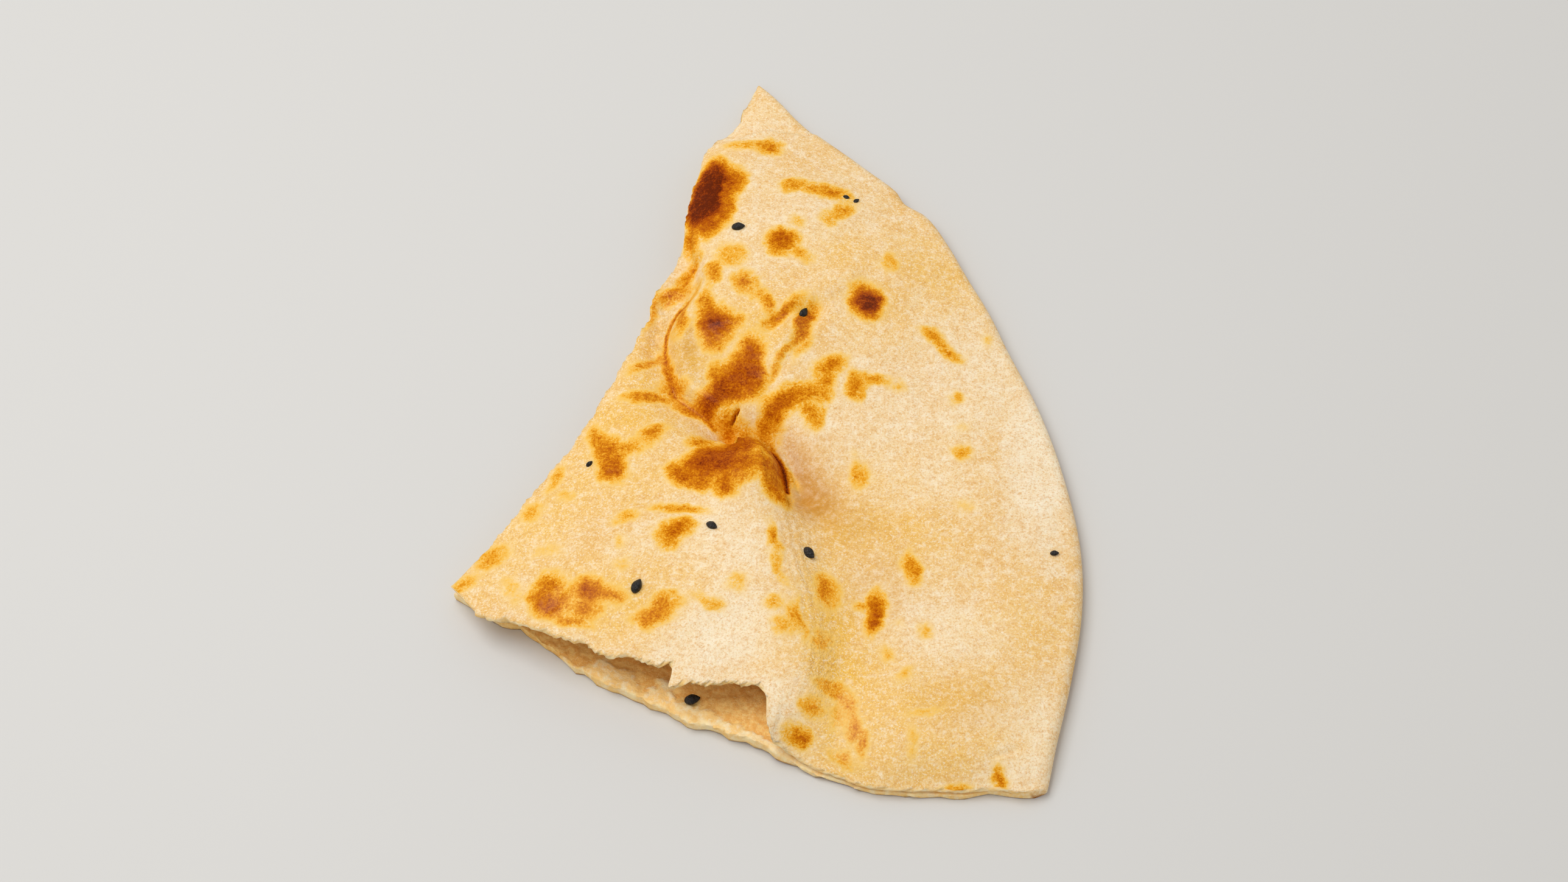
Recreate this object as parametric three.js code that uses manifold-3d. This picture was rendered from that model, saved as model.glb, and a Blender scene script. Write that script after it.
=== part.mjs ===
// A quarter of a round, puffed naan, lying flat. Two layers of dough are joined along the round rim
// and part at both cut edges, so a shallow pocket runs between them. The upper layer has sunk into a
// pleat and a tuck, and its front edge is torn back from the lower one. Nigella seeds are baked in.
// Millimetres. +X runs to the right, +Y away from the front edge and +Z up, with the origin under the
// middle of the piece.
import * as THREE from "three";
import { mergeVertices } from "three/addons/utils/BufferGeometryUtils.js";
import Module from "manifold-3d";

const wasm = await Module();
wasm.setup();
const { MathUtils } = THREE;

// ---- sizes ----

const corner = { x: -69.5, y: -50 }; // the middle of the whole round, where the two cuts meet
const cells = { crown: 48, inside: 26, under: 24 }; // cells along each side of a surface
const finest = 3.2; // the narrowest slope that the crown's cells can follow
const rim = { high: 4.4, round: 2.3, steps: 3, reach: 16, fullness: 1.3 };
const pocket = { end: 0.955, closesFrom: 0.88 }; // shares of the way from the corner to the rim
const body = { high: 8.4, tipHigh: 4.9, tipReach: 34 };
const skin = { thick: 2.3, tornThick: 1.2, tornReach: 9 };
const base = { thick: 2.5, wave: 0.8, x: 15, fromX: 1, y: 19, fromY: -0.6, sunk: 0.15 };
const leastGap = 0.35; // between the layers where they lie on each other
const sameSpot = 1e-4; // points closer than this are one
const droop = { fall: 1.7, reach: 4.5, from: [6, 30] }; // the upper layer's left edge turns down
// The front cut is pressed shut from this far on.
const closedFront = { low: 3, reach: 6, fullness: 1.5, from: [79, 92] };

// Outlines as [distance from the corner, direction in degrees].
const leftCut = [
  [0, 50], [12, 52.5], [24, 54], [34, 56], [44, 56.9], [55, 58], [64, 59.8], [73, 61.2], [80, 62],
  [90, 63.9], [104, 64.7], [112, 66.6], [118, 67.6], [128, 68.6], [136.5, 68.8], [138.5, 67.9],
  [143.5, 68.1], [159, 68.9],
];
const frontCut = [
  [0, -32], [10, -30], [18, -28], [24, -30.5], [32, -31.8], [46, -31.5], [55, -30.5], [64.5, -29.6],
  [77, -28.1], [96, -27.2], [107, -26.6], [116, -24.3], [123, -23], [131, -21.3], [136, -20.9], [141, -19.6],
];
const frontTear = [
  [0, -46], [9, -47], [12.7, -42], [17.4, -37.6], [22.5, -34], [28.4, -32.8], [32.5, -29.6], [36, -28.1],
  [44, -27.7], [51, -26.3], [56.8, -23.5], [58.9, -28.6], [61.2, -25.6], [65.7, -23.8], [70.1, -22.1],
  [74, -21.1], [78.6, -22.5], [81.2, -26], [83, -27], [96, -27], [107, -26.4], [116, -24.2], [123, -22.9],
  [131, -21.2], [136, -20.8], [141, -19.6],
];
// The rim as [direction in degrees, distance from the corner].
const rimCurve = [
  [-19.6, 141], [-14.9, 139.4], [-8.2, 138.9], [4.7, 139.2], [13.5, 138.1], [28.6, 137.9], [33.5, 139.5],
  [42, 143.3], [46.2, 145.5], [48.8, 144.8], [54.6, 147.1], [60.7, 149.5], [65.9, 155], [68.9, 159],
];

// Rounded rises and hollows of the upper layer: middle, reach both ways, turn in degrees and height.
const mounds = [
  { at: [-19.5, -48.4], reach: [36, 32], turn: 15, rise: 6 }, // the pillow near the corner
  { at: [-1.5, 34.9], reach: [33, 42], turn: 10, rise: 4.4 }, // the bubble towards the far point
  { at: [-31, 2.9], reach: [13, 26], turn: 0, rise: 2.2 }, // the shoulder along the left cut
  { at: [-5, -23.6], reach: [11.5, 8], turn: -20, rise: 3.4 }, // the browned bulge under the tuck
  { at: [9, -27.1], reach: [5, 9], turn: 20, rise: -2.4 }, // the dimple right of the tuck
  { at: [30, -43.1], reach: [24, 13], turn: -12, rise: -1.2 }, // the hollow that runs on from the dimple
  { at: [39, -21.1], reach: [26, 42], turn: 0, rise: -0.9 }, // the broad sunken right side
];
// Folds: a middle line, its height, and how wide it is on its left and right side.
const folds = [
  { // the crest of the pillow
    line: [[1.2, -32.1], [2.7, -39.4], [3.8, -44.6], [5.9, -50.9], [8.3, -56.7], [10, -62], [10.4, -67.3],
      [9.3, -73.6], [7.6, -79.2]],
    rise: 1.7, left: 7, right: 12,
  },
  { // the valley that runs from the dimple to the front
    line: [[7.5, -29.1], [10.6, -37.7], [13, -44.6], [15, -51.4], [17.5, -59.4], [18.4, -67.4], [18.2, -75.2],
      [18.5, -82.6], [20, -90.1]],
    rise: -2.1, left: 13, right: 6.5,
  },
  { // the pleat, where the bubble laps over the left side
    line: [[-22.4, 36.5], [-22, 29.6], [-24.2, 24.9], [-26.6, 19.6], [-27.1, 15.3], [-26.4, 9.4],
      [-24.8, 3.6], [-23.2, -0.5], [-20.6, -3], [-17.4, -5.3], [-14, -8.1], [-11.4, -10.7]],
    rise: -3.6, left: 2.2, right: 6.5,
  },
  { // the tuck, where the bulge stands over the right side
    line: [[-9.2, -11.7], [-6.2, -11], [-4.1, -11.5], [-2, -12.6], [-0.4, -14], [1.2, -16.1], [2.4, -18.7],
      [3.3, -21.9], [3.9, -26.1]],
    rise: -5.6, left: 4.6, right: 1.7,
  },
  { // the slot between the pleat and the left cut
    line: [[-28.2, 26.9], [-29.2, 23.6], [-29.6, 20], [-29.5, 15.7], [-29.6, 11.7]],
    rise: -1.5, left: 2.4, right: 2.4,
  },
  { line: [[3.6, 15.7], [1.6, 9.9], [-0.8, 3.9], [-3.6, -2.3]], rise: 1.2, left: 3, right: 3 },
  {
    line: [[7.6, 22], [5.9, 17.1], [3.9, 12.5], [1.6, 8], [-1, 2.5], [-2.9, -1.8]],
    rise: -1.3, left: 2, right: 2.4,
  },
  { line: [[3.6, 21.6], [0.6, 19.9], [-2.2, 17.6]], rise: -0.9, left: 2, right: 2 },
  { line: [[2.4, 23.2], [8.4, 27], [15, 31.9]], rise: 0.9, left: 3, right: 3 },
];
// Slow unevenness: height, lengths in x and y, the sway of one along the other, and the lean.
const ripples = [
  { high: 0.32, x: 9.5, sway: 1.4, swayY: 14, y: 11, lean: 0, from: 0.8 },
  { high: 0.16, x: 4.3, sway: 2, swayY: 7.1, y: 5.2, lean: -1 / 16, from: 0 },
];
// The upper layer is torn away at the far point: across this line it steps down to the lower layer.
const farTear = {
  line: [[-22, 72.9], [-19.2, 74.9], [-15.5, 75.6], [-12.6, 77.7], [-8.3, 79.7], [-2, 79.3], [2.7, 78.2],
    [6.6, 76.5], [9.9, 74.1], [13, 72.5]],
  fall: 1.3, beyondY: 60,
};

// Seeds: middle, direction in degrees, length, and whether one lies on the lower layer.
const seedShape = { wide: 0.68, tall: 0.55, lift: 0.12, sides: 6, rows: 4 }; // shares of its length
const seeds = [
  { at: [-26.3, -54.9], turn: 70, long: 3.6 },
  { at: [10.2, -43.4], turn: -50, long: 3.6 },
  { at: [-11.1, -39.5], turn: -30, long: 2.8 },
  { at: [4.8, 20.9], turn: 60, long: 2.8 },
  { at: [-12.1, 45.5], turn: 5, long: 3.2 },
  { at: [12.2, 57.7], turn: -20, long: 1.7 },
  { at: [14.6, 56.8], turn: 30, long: 1.6 },
  { at: [-40.9, -20.4], turn: 45, long: 1.8 },
  { at: [63.6, -40.3], turn: 0, long: 2 },
  { at: [36.8, 16.2], turn: 20, long: 2.4 },
  { at: [-41.9, -16.2], turn: 50, long: 2.6 },
  { at: [-13.6, -76.8], turn: 10, long: 3.6, low: true },
];

const dough = new THREE.MeshStandardMaterial({ color: 0xe8cfa0, roughness: 0.75, metalness: 0 });

// ---- outlines ----

// A smooth curve through [place, value] pairs, read at one place.
function along(pairs, place) {
  const last = pairs.length - 1;
  if (place <= pairs[0][0]) return pairs[0][1];
  if (place >= pairs[last][0]) return pairs[last][1];
  const i = pairs.findIndex(([p]) => p > place) - 1;
  const slope = (k) => {
    const [from, to] = [pairs[Math.max(k - 1, 0)], pairs[Math.min(k + 1, last)]];
    return (to[1] - from[1]) / (to[0] - from[0]);
  };
  const [[p0, v0], [p1, v1]] = [pairs[i], pairs[i + 1]];
  const t = (place - p0) / (p1 - p0);
  const straight = v0 + (v1 - v0) * t * t * (3 - 2 * t);
  return straight + t * (1 - t) * (p1 - p0) * ((1 - t) * slope(i) - t * slope(i + 1));
}

const [[rimFrom, frontLong], [rimTo, leftLong]] = [rimCurve[0], rimCurve.at(-1)];

// The rim's distance from the corner, at a share of the way round it from the front to the left.
function rimReach(round) {
  return along(rimCurve, MathUtils.lerp(rimFrom, rimTo, round));
}

// A point of the quarter: share of the way from the corner to the rim, and from the front cut to the
// left one.
function plan(out, round, front) {
  const frontWay = along(front, out * frontLong);
  const leftWay = along(leftCut, out * leftLong);
  const way = MathUtils.degToRad(MathUtils.lerp(frontWay, leftWay, round));
  const far = out * rimReach(round);
  return [corner.x + far * Math.cos(way), corner.y + far * Math.sin(way)];
}

// A square spread over the quarter, so that its cells stay about alike in size.
function spread(a, b) {
  const u = a * Math.sqrt(1 - (b * b) / 2);
  const v = b * Math.sqrt(1 - (a * a) / 2);
  return [Math.min(Math.hypot(u, v), 1), a + b === 0 ? 0.5 : Math.atan2(v, u) / (Math.PI / 2)];
}

// ---- relief ----

function moundAt(mound, x, y) {
  const turn = MathUtils.degToRad(mound.turn);
  const [dx, dy] = [x - mound.at[0], y - mound.at[1]];
  const u = (dx * Math.cos(turn) + dy * Math.sin(turn)) / mound.reach[0];
  const v = (dy * Math.cos(turn) - dx * Math.sin(turn)) / mound.reach[1];
  return mound.rise * Math.exp(-u * u - v * v);
}

// Distance to a line of points, and the side: above zero on its left.
function besideLine(line, x, y) {
  let near = { gap: Infinity, side: 0 };
  for (let i = 1; i < line.length; i++) {
    const [[x0, y0], [x1, y1]] = [line[i - 1], line[i]];
    const [ex, ey] = [x1 - x0, y1 - y0];
    const t = MathUtils.clamp(((x - x0) * ex + (y - y0) * ey) / (ex * ex + ey * ey), 0, 1);
    const gap = Math.hypot(x - x0 - t * ex, y - y0 - t * ey);
    if (gap < near.gap) near = { gap, side: Math.sign(ex * (y - y0) - ey * (x - x0)) || 1 };
  }
  return near;
}

function foldAt(fold, x, y) {
  const { gap, side } = besideLine(fold.line, x, y);
  const wide = Math.max(side > 0 ? fold.left : fold.right, finest);
  return fold.rise * Math.exp(-((gap / wide) ** 2));
}

function rippleAt(ripple, x, y) {
  const across = Math.sin(x / ripple.x + ripple.sway * Math.sin(y / ripple.swayY));
  return ripple.high * across * Math.sin(y / ripple.y + ripple.lean * x + ripple.from);
}

function sum(items, heightAt, x, y) {
  return items.reduce((total, item) => total + heightAt(item, x, y), 0);
}

// How far the left edge turns down, which fades towards the corner.
function droopAt(far, fromLeft) {
  return droop.fall * Math.exp(-fromLeft / droop.reach) * MathUtils.smoothstep(far, ...droop.from);
}

// How far the front edge is pressed down to the lower layer: 0 to 1.
function pressedAt(far, fromFront) {
  const near = Math.exp(-((fromFront / closedFront.reach) ** closedFront.fullness));
  return near * MathUtils.smoothstep(far, ...closedFront.from);
}

function beyondTear(x, y) {
  const { gap, side } = besideLine(farTear.line, x, y);
  return side > 0 && y > farTear.beyondY ? MathUtils.smoothstep(gap, 0, finest) : 0;
}

// Height of the top at a point of the piece.
function crownAt(x, y) {
  const [dx, dy] = [x - corner.x, y - corner.y];
  const far = Math.hypot(dx, dy);
  const direction = MathUtils.radToDeg(Math.atan2(dy, dx));
  const inward = Math.max(along(rimCurve, direction) - far, 0);
  let z = MathUtils.lerp(body.tipHigh, body.high, MathUtils.smoothstep(far, 0, body.tipReach));
  z += sum(mounds, moundAt, x, y) + sum(folds, foldAt, x, y) + sum(ripples, rippleAt, x, y);
  z = rim.high + (z - rim.high) * (1 - Math.exp(-((inward / rim.reach) ** rim.fullness)));
  const arc = (degrees) => Math.max(MathUtils.degToRad(degrees), 0) * far;
  z -= droopAt(far, arc(along(leftCut, far) - direction));
  z -= Math.max(z - closedFront.low, 0) * pressedAt(far, arc(direction - along(frontCut, far)));
  return z - farTear.fall * beyondTear(x, y);
}

function underAt(x, y) {
  const wave = Math.sin(x / base.x + base.fromX) * Math.sin(y / base.y + base.fromY);
  return Math.max(0, base.wave * wave - base.sunk);
}

// ---- surfaces ----

// Each place function takes a share of the way out and a share of the way round, and gives a point.

function crownPlace(out, round) {
  const [x, y] = plan(out * shortOf(rim.round, round), round, frontTear);
  return [x, y, crownAt(x, y)];
}

// 0 in the pocket, rising to 1 where it ends.
function closing(out) {
  return MathUtils.clamp((out - pocket.closesFrom) / (1 - pocket.closesFrom), 0, 1) ** 2;
}

function ceilingPlace(out, round) {
  const [x, y] = plan(out * pocket.end, round, frontTear);
  const top = crownAt(x, y);
  const fromFront = round * (Math.PI / 2) * out * frontLong;
  const thick = MathUtils.lerp(skin.tornThick, skin.thick, Math.min(fromFront / skin.tornReach, 1));
  const z = Math.max(top - thick, (top + leastGap) / 2);
  return [x, y, MathUtils.lerp(z, top / 2, closing(out))];
}

function floorPlace(out, round) {
  const [x, y] = plan(out * pocket.end, round, frontCut);
  const top = crownAt(...plan(out * pocket.end, round, frontTear));
  const z = Math.min(underAt(x, y) + base.thick, (top - leastGap) / 2);
  return [x, y, MathUtils.lerp(z, top / 2, closing(out))];
}

function underPlace(out, round) {
  const [x, y] = plan(out * shortOf(rim.round, round), round, frontCut);
  return [x, y, underAt(x, y)];
}

// Round the rim: angle is 90 degrees at the top and -90 degrees at the underside.
function rimPlace(round, angle) {
  const [x, y] = plan(shortOf(rim.round * (1 - Math.cos(angle)), round), round, frontCut);
  const [top, low] = [crownPlace(1, round)[2], underPlace(1, round)[2]];
  return [x, y, MathUtils.lerp(low, top, (1 + Math.sin(angle)) / 2)];
}

// Share of the way out at which a surface stops short of the rim by a distance.
function shortOf(distance, round) {
  return 1 - distance / rimReach(round);
}

// A closed surface in the making.
class Shell {
  points = [];
  faces = [];

  put([x, y, z]) {
    this.points.push(x, y, z);
    return this.points.length / 3 - 1;
  }

  face(a, b, c, turned) {
    if (a === b || b === c || c === a) return;
    this.faces.push(...(turned ? [a, c, b] : [a, b, c]));
  }

  // Two triangles, split along the diagonal that follows the relief.
  quad(a, b, c, d, turned) {
    const high = (p) => this.points[p * 3 + 2];
    const split = Math.abs(high(a) - high(c)) <= Math.abs(high(b) - high(d));
    this.face(a, b, split ? c : d, turned);
    this.face(split ? a : b, c, d, turned);
  }

  // A sheet over the quarter, facing up or down. The points of its rim may be given.
  sheet(count, place, facesUp, givenRim) {
    const grid = [];
    for (let i = 0; i <= count; i++) {
      grid.push([]);
      for (let j = 0; j <= count; j++) {
        const onRim = i === count || j === count;
        const rimStep = i === count ? j : 2 * count - i;
        const shared = givenRim && onRim;
        grid[i].push(shared ? givenRim[rimStep] : this.put(place(...spread(i / count, j / count))));
      }
    }
    for (let i = 0; i < count; i++) {
      for (let j = 0; j < count; j++) {
        this.quad(grid[i][j], grid[i + 1][j], grid[i + 1][j + 1], grid[i][j + 1], !facesUp);
      }
    }
    const steps = [...Array(count + 1).keys()];
    return {
      front: steps.map((i) => grid[i][0]),
      left: steps.map((j) => grid[0][j]),
      rim: [...steps.map((j) => grid[count][j]), ...steps.slice(1).map((k) => grid[count - k][count])],
    };
  }

  // Triangles between two lines of points that run the same way.
  stitch(one, other, turned) {
    let [i, j] = [0, 0];
    while (i < one.length - 1 || j < other.length - 1) {
      const nextOne = i < one.length - 1 ? (i + 1) / (one.length - 1) : Infinity;
      const nextOther = j < other.length - 1 ? (j + 1) / (other.length - 1) : Infinity;
      const third = nextOne <= nextOther ? one[++i] : other[++j];
      const [a, b] = nextOne <= nextOther ? [one[i - 1], other[j]] : [one[i], other[j - 1]];
      this.face(a, third, b, turned);
    }
  }

  geometry() {
    const made = new THREE.BufferGeometry();
    made.setAttribute("position", new THREE.Float32BufferAttribute(this.points, 3));
    made.setIndex(this.faces);
    return made;
  }
}

// Rows of points round the rim, between the top and the underside.
function rimRows(shell) {
  const rows = [];
  for (let k = 1; k <= rim.steps; k++) {
    const angle = Math.PI * (0.5 - k / (rim.steps + 1));
    const row = [];
    for (let s = 0; s <= 2 * cells.crown; s++) {
      const a = Math.min(1, (2 * cells.crown - s) / cells.crown);
      const b = Math.min(1, s / cells.crown);
      row.push(shell.put(rimPlace(spread(a, b)[1], angle)));
    }
    rows.push(row);
  }
  return rows;
}

function doughGeometry() {
  const shell = new Shell();
  const crown = shell.sheet(cells.crown, crownPlace, true);
  const ceiling = shell.sheet(cells.inside, ceilingPlace, false);
  const floor = shell.sheet(cells.inside, floorPlace, true, ceiling.rim);
  const under = shell.sheet(cells.under, underPlace, false);
  const rows = [crown.rim, ...rimRows(shell), under.rim];
  rows.slice(1).forEach((row, k) => shell.stitch(rows[k], row, true));
  for (const [side, turned, end] of [["front", true, 0], ["left", false, -1]]) {
    shell.stitch(crown[side], ceiling[side], turned);
    shell.stitch(floor[side], under[side], turned);
    shell.stitch(rows.map((row) => row.at(end)), [ceiling.rim.at(end)], turned);
  }
  return shell.geometry();
}

// ---- solids ----

// A closed geometry as a solid.
function solidOf(geometry) {
  geometry.deleteAttribute("normal");
  geometry.deleteAttribute("uv");
  const merged = mergeVertices(geometry, sameSpot);
  return new wasm.Manifold(new wasm.Mesh({
    numProp: 3,
    vertProperties: new Float32Array(merged.attributes.position.array),
    triVerts: new Uint32Array(merged.index.array),
  }));
}

function seedSolid({ at: [x, y], turn, long, low }) {
  const seed = new THREE.SphereGeometry(0.5, seedShape.sides, seedShape.rows);
  seed.rotateX(Math.PI / 2);
  seed.scale(long, long * seedShape.wide, long * seedShape.tall);
  seed.rotateZ(MathUtils.degToRad(turn));
  const z = low ? underAt(x, y) + base.thick : crownAt(x, y);
  seed.translate(x, y, z + seedShape.lift * long);
  return solidOf(seed);
}

function naan() {
  const whole = seeds.reduce((solid, seed) => solid.add(seedSolid(seed)), solidOf(doughGeometry()));
  const made = whole.getMesh();
  const geometry = new THREE.BufferGeometry();
  geometry.setAttribute("position", new THREE.BufferAttribute(made.vertProperties, 3));
  geometry.setIndex(new THREE.BufferAttribute(made.triVerts, 1));
  geometry.computeVertexNormals();
  const mesh = new THREE.Mesh(geometry, dough);
  mesh.name = "naan";
  return mesh;
}

const group = new THREE.Group();
group.add(naan());

export default group;
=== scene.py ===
import math
import bmesh
import bpy
import numpy as np
from mathutils import Euler, Matrix, Vector, noise


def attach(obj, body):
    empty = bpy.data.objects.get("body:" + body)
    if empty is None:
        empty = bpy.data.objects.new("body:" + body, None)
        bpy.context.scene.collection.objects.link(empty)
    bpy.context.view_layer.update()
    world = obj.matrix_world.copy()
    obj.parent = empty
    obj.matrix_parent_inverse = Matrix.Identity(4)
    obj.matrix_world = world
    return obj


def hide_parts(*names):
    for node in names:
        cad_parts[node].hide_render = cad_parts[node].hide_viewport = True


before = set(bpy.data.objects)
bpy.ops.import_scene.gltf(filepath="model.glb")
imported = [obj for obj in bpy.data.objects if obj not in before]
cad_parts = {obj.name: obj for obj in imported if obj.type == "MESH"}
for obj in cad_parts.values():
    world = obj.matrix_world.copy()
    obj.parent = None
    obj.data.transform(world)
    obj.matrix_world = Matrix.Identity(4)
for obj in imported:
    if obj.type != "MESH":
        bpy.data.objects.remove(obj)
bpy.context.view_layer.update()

# A quarter of a puffed naan. Sizes are in millimetres and turned into metres by mm.
# X runs to the right, Y away from the torn front edge, Z up, and the origin is under the middle.
mm = 0.001

print("outline and relief")

outline = {
    "corner": (-69.5, -50),    # where the two cuts meet
    "between": 1.5,            # angle between the cuts, in radians
    "seam": 0.955,             # the pocket ends at this share of the way to the rim
    "closesFrom": 0.88,        # and starts to close at this one
    # distance from the corner, direction in degrees
    "leftCut": [
        (0, 50), (12, 52.5), (24, 54), (34, 56), (44, 56.9), (55, 58), (64, 59.8), (73, 61.2),
        (80, 62), (85, 63.2), (90, 63.9), (97, 64), (104, 64.7), (112, 66.6), (118, 67.6),
        (128, 68.6), (134, 68.9), (136.5, 68.8), (138.5, 67.9), (143.5, 68.1), (149.5, 68.5),
        (159, 68.9),
    ],
    "frontCut": [
        (0, -32), (10, -30), (18, -28), (24, -30.5), (32, -31.8), (46, -31.5), (55, -30.5),
        (64.5, -29.6), (68, -28.8), (77, -28.1), (84, -27.8), (96, -27.2), (107, -26.6),
        (112, -25.4), (116, -24.3), (123, -23), (131, -21.3), (136, -20.9), (141, -19.6),
    ],
    "frontTear": [
        (0, -46), (9, -47), (12.7, -42), (17.4, -37.6), (22.5, -34), (28.4, -32.8), (32.5, -29.6),
        (36, -28.1), (39.2, -28.7), (44, -27.7), (47.4, -26.7), (51, -26.3), (54, -25.2),
        (56.8, -23.5), (57.8, -25.6), (58.9, -28.6), (60.2, -27.8), (61.2, -25.6), (62.8, -24.5),
        (65.7, -23.8), (68.1, -23.4), (70.1, -22.1), (72.2, -22.1), (74, -21.1), (76.6, -21.4),
        (78.6, -22.5), (80.1, -23.8), (81.2, -26), (83, -27), (90, -27.1), (96, -27),
        (107, -26.4), (112, -25.3), (116, -24.2), (123, -22.9), (131, -21.2), (136, -20.8),
        (141, -19.6),
    ],
    # direction in degrees, distance from the corner
    "rim": [
        (-19.6, 141), (-14.9, 139.4), (-8.2, 138.9), (-1.3, 139.3), (4.7, 139.2), (13.5, 138.1),
        (23.5, 137.7), (28.6, 137.9), (33.5, 139.5), (38, 141), (42, 143.3), (46.2, 145.5),
        (48.8, 144.8), (50.5, 146.2), (54.6, 147.1), (60.7, 149.5), (63.5, 151.8), (65.9, 155),
        (68.9, 159),
    ],
    # a ragged edge starts beyond the corner, stops short of the rim and dies away inwards
    "rag": {"from": (3, 14), "stop": 0.03, "deep": 5,
            "frontStart": 1.3, "leftStart": 2.9, "shift": 1.7},
    # waves of a torn line: share of its size, and radians to the millimetre
    "ragWaves": [
        (1, 0.23), (0.8, 0.61), (0.55, 1.27), (0.45, 2.3), (0.4, 4.1), (0.35, 6.7), (0.25, 10.3),
    ],
}

relief = {
    "rim": {"high": 4.4, "round": 2.3, "reach": 16, "fullness": 1.3},
    "body": {"high": 8.4, "tipHigh": 4.9, "tipReach": 34},
    "skin": {"thick": 2.3, "torn": 1.2, "reach": 9},
    "base": {"thick": 2.5, "wave": 0.8, "x": 15, "fromX": 1, "y": 19, "fromY": -0.6, "sunk": 0.15},
    "leastGap": 0.35,
    "droop": {"fall": 1.7, "reach": 4.5, "from": (6, 30)},       # along the left cut
    # the front edge is pressed flat near the rim
    "pressed": {"low": 3, "reach": 6, "fullness": 1.5, "from": (79, 92)},
    # rounded rises and hollows: middle, reach both ways, turn in degrees, height
    "mounds": [
        ((-19.5, -48.4), (36, 32), 15, 6),      # pillow near the corner
        ((-1.5, 34.9), (33, 42), 10, 4.4),      # bubble towards the far point
        ((-31, 2.9), (13, 26), 0, 2.2),         # shoulder along the left cut
        ((-5, -23.6), (11.5, 8), -20, 3.4),     # browned bulge under the tuck
        ((9, -27.1), (5, 9), 20, -2.4),         # dimple right of the tuck
        ((30, -43.1), (24, 13), -12, -1.2),     # hollow that runs on from the dimple
        ((39, -21.1), (26, 42), 0, -0.9),       # sunken right side
    ],
    # folds: middle line, height, width on the left and on the right side
    "folds": [
        ([(1.2, -32.1), (2.7, -39.4), (3.8, -44.6), (5.9, -50.9), (8.3, -56.7), (10, -62),
          (10.4, -67.3), (9.3, -73.6), (7.6, -79.2)], 1.7, 7, 12),
        ([(7.5, -29.1), (10.6, -37.7), (13, -44.6), (15, -51.4), (17.5, -59.4), (18.4, -67.4),
          (18.2, -75.2), (18.5, -82.6), (20, -90.1)], -2.1, 13, 6.5),
        ([(-22.4, 36.5), (-22, 29.6), (-24.2, 24.9), (-26.6, 19.6), (-27.1, 15.3), (-26.4, 9.4),
          (-24.8, 3.6), (-23.2, -0.5), (-20.6, -3), (-17.4, -5.3), (-14, -8.1),
          (-11.4, -10.7)], -3.6, 2.2, 6.5),
        ([(-9.2, -11.7), (-6.2, -11), (-4.1, -11.5), (-2, -12.6), (-0.4, -14), (1.2, -16.1),
          (2.4, -18.7), (3.3, -21.9), (3.9, -26.1)], -5.6, 4.6, 1.7),
        ([(-28.2, 26.9), (-29.2, 23.6), (-29.6, 20), (-29.5, 15.7),
          (-29.6, 11.7)], -1.5, 2.4, 2.4),
        ([(3.6, 15.7), (1.6, 9.9), (-0.8, 3.9), (-3.6, -2.3)], 1.2, 3, 3),
        ([(7.6, 22), (5.9, 17.1), (3.9, 12.5), (1.6, 8), (-1, 2.5), (-2.9, -1.8)], -1.3, 2, 2.4),
        ([(3.6, 21.6), (0.6, 19.9), (-2.2, 17.6)], -0.9, 2, 2),
        ([(2.4, 23.2), (8.4, 27), (15, 31.9)], 0.9, 3, 3),
    ],
    # slow unevenness: height, lengths in x and y, sway of one along the other, lean and start
    "ripples": [
        {"high": 0.32, "x": 9.5, "sway": 1.4, "swayY": 14, "y": 11, "lean": 0, "from": 0.8},
        {"high": 0.16, "x": 4.3, "sway": 2, "swayY": 7.1, "y": 5.2, "lean": -0.0625, "from": 0},
    ],
    # the upper layer is torn away past this line
    "farTear": {
        "line": [
            (-22, 72.9), (-19.2, 74.9), (-15.5, 75.6), (-12.6, 77.7), (-8.3, 79.7), (-2, 79.3),
            (2.7, 78.2), (6.6, 76.5), (9.9, 74.1), (13, 72.5),
        ],
        "fall": 1.3, "beyond": 60, "slope": 1.2,
    },
}


def along(pairs, place):
    # a smooth curve through (place, value) pairs
    at, value = np.array(pairs, float).T
    last = len(at) - 1
    before = np.maximum(np.arange(last + 1) - 1, 0)
    after = np.minimum(np.arange(last + 1) + 1, last)
    slope = (value[after] - value[before]) / (at[after] - at[before])
    place = np.clip(np.asarray(place, float), at[0], at[-1])
    i = np.clip(np.searchsorted(at, place, "right") - 1, 0, last - 1)
    width = at[i + 1] - at[i]
    t = (place - at[i]) / width
    straight = value[i] + (value[i + 1] - value[i]) * t * t * (3 - 2 * t)
    return straight + width * t * (1 - t) * ((1 - t) * slope[i] - t * slope[i + 1])


def smoothStep(x, low, high):
    t = np.clip((np.asarray(x, float) - low) / (high - low), 0, 1)
    return t * t * (3 - 2 * t)


def ragged(distance, size, start):
    # an uneven torn line: how far it strays at each distance along it
    shift = outline["rag"]["shift"]
    return size * sum(share * np.sin(k * distance + start * (n + shift))
                      for n, (share, k) in enumerate(outline["ragWaves"]))


def rimReach(turn):
    first, last = outline["rim"][0][0], outline["rim"][-1][0]
    return along(outline["rim"], first + turn * (last - first))


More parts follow.
